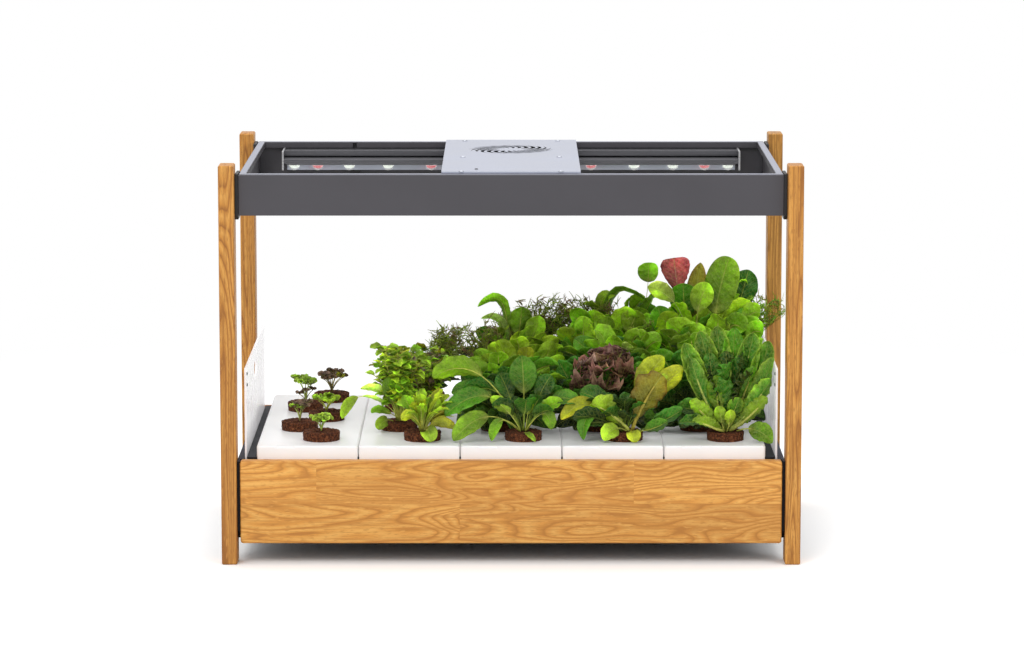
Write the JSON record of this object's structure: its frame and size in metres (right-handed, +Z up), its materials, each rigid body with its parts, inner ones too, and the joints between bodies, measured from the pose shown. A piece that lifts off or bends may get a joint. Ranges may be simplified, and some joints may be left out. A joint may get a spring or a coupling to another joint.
{
  "type": "countertop hydroponic garden",
  "caption": "Free-standing tabletop garden: oak posts hold a dark lamp frame with LED bars and fan over an oak-faced water tank with lift-out planting trays.",
  "frame": {"origin": "on the surface it stands on, at the middle of its footprint", "axes": "+X to the right along the long side, +Y to the back, +Z up"},
  "size_m": [0.616, 0.374, 0.427],
  "materials": {
    "oak_post": "oiled solid oak, visible grain",
    "oak_panel": "oiled finger-jointed oak staves",
    "dark_steel": "fine-textured dark grey powder coat",
    "black_steel": "matt black powder coat",
    "silver_steel": "satin silver-grey powder coat",
    "white_sheet": "satin white",
    "tank_plastic": "moulded dark grey plastic",
    "white_plastic": "moulded white plastic, soft gloss",
    "planted_pod": "coir plug with leafy plant",
    "aluminium": "extruded heat sink, bare",
    "led_strip": "white board with clear dome lenses",
    "black_plastic": "moulded black plastic",
    "circuit_board": "green board with parts"
  },
  "bodies": {
    "root": {"front_left_post": "oak_post", "front_right_post": "oak_post", "rear_left_post": "oak_post", "rear_right_post": "oak_post", "front_oak_panel": "oak_panel", "rear_oak_panel": "oak_panel", "left_side_frame": "dark_steel", "right_side_frame": "dark_steel", "water_tank": "tank_plastic", "front_lamp_rail": "dark_steel", "rear_lamp_rail": "dark_steel", "left_lamp_rail": "dark_steel", "right_lamp_rail": "dark_steel", "front_left_bracket": "black_steel", "front_right_bracket": "black_steel", "rear_left_bracket": "black_steel", "rear_right_bracket": "black_steel", "front_light_bar": "aluminium", "front_led_strip": "led_strip", "rear_light_bar": "aluminium", "rear_led_strip": "led_strip", "fan_cover": "silver_steel", "lamp_housing": "black_steel", "fan_frame": "black_plastic", "control_board": "circuit_board", "power_inlet": "black_plastic"},
    "tray_1": {"tray_1": "white_plastic", "pod_1_1": "planted_pod", "pod_1_2": "planted_pod", "pod_1_3": "planted_pod", "pod_1_4": "planted_pod", "pod_1_5": "planted_pod"},
    "tray_2": {"tray_2": "white_plastic", "pod_2_1": "planted_pod", "pod_2_2": "planted_pod", "pod_2_3": "planted_pod", "pod_2_4": "planted_pod", "pod_2_5": "planted_pod"},
    "tray_3": {"tray_3": "white_plastic", "pod_3_1": "planted_pod", "pod_3_2": "planted_pod", "pod_3_3": "planted_pod", "pod_3_4": "planted_pod", "pod_3_5": "planted_pod"},
    "tray_4": {"tray_4": "white_plastic", "pod_4_1": "planted_pod", "pod_4_2": "planted_pod", "pod_4_3": "planted_pod", "pod_4_4": "planted_pod", "pod_4_5": "planted_pod"},
    "tray_5": {"tray_5": "white_plastic", "pod_5_1": "planted_pod", "pod_5_2": "planted_pod", "pod_5_3": "planted_pod", "pod_5_4": "planted_pod", "pod_5_5": "planted_pod"},
    "left_side_panel": {"left_side_panel": "white_sheet"},
    "right_side_panel": {"right_side_panel": "white_sheet"},
    "fan_rotor": {"fan_rotor": "black_plastic"},
    "light_button": {"light_button": "black_plastic"}
  },
  "joints": [
    {"name": "tray_1_lift", "type": "slide", "parent": "root", "child": "tray_1", "axis": [0, 0, 1], "range_m": [0, 0.06]},
    {"name": "tray_2_lift", "type": "slide", "parent": "root", "child": "tray_2", "axis": [0, 0, 1], "range_m": [0, 0.06]},
    {"name": "tray_3_lift", "type": "slide", "parent": "root", "child": "tray_3", "axis": [0, 0, 1], "range_m": [0, 0.06]},
    {"name": "tray_4_lift", "type": "slide", "parent": "root", "child": "tray_4", "axis": [0, 0, 1], "range_m": [0, 0.06]},
    {"name": "tray_5_lift", "type": "slide", "parent": "root", "child": "tray_5", "axis": [0, 0, 1], "range_m": [0, 0.06]},
    {"name": "left_panel_lift", "type": "slide", "parent": "root", "child": "left_side_panel", "axis": [0, 0, 1], "range_m": [0, 0.12]},
    {"name": "right_panel_lift", "type": "slide", "parent": "root", "child": "right_side_panel", "axis": [0, 0, 1], "range_m": [0, 0.12]},
    {"name": "fan_spin", "type": "hinge", "parent": "root", "child": "fan_rotor", "pos_m": [0, 0.062, 0.4], "axis": [0, 0, 1], "continuous": true},
    {"name": "button_press", "type": "slide", "parent": "root", "child": "light_button", "axis": [0, 0, -1], "range_m": [0, 0.0008], "stiffness_N_per_m": 400}
  ]
}
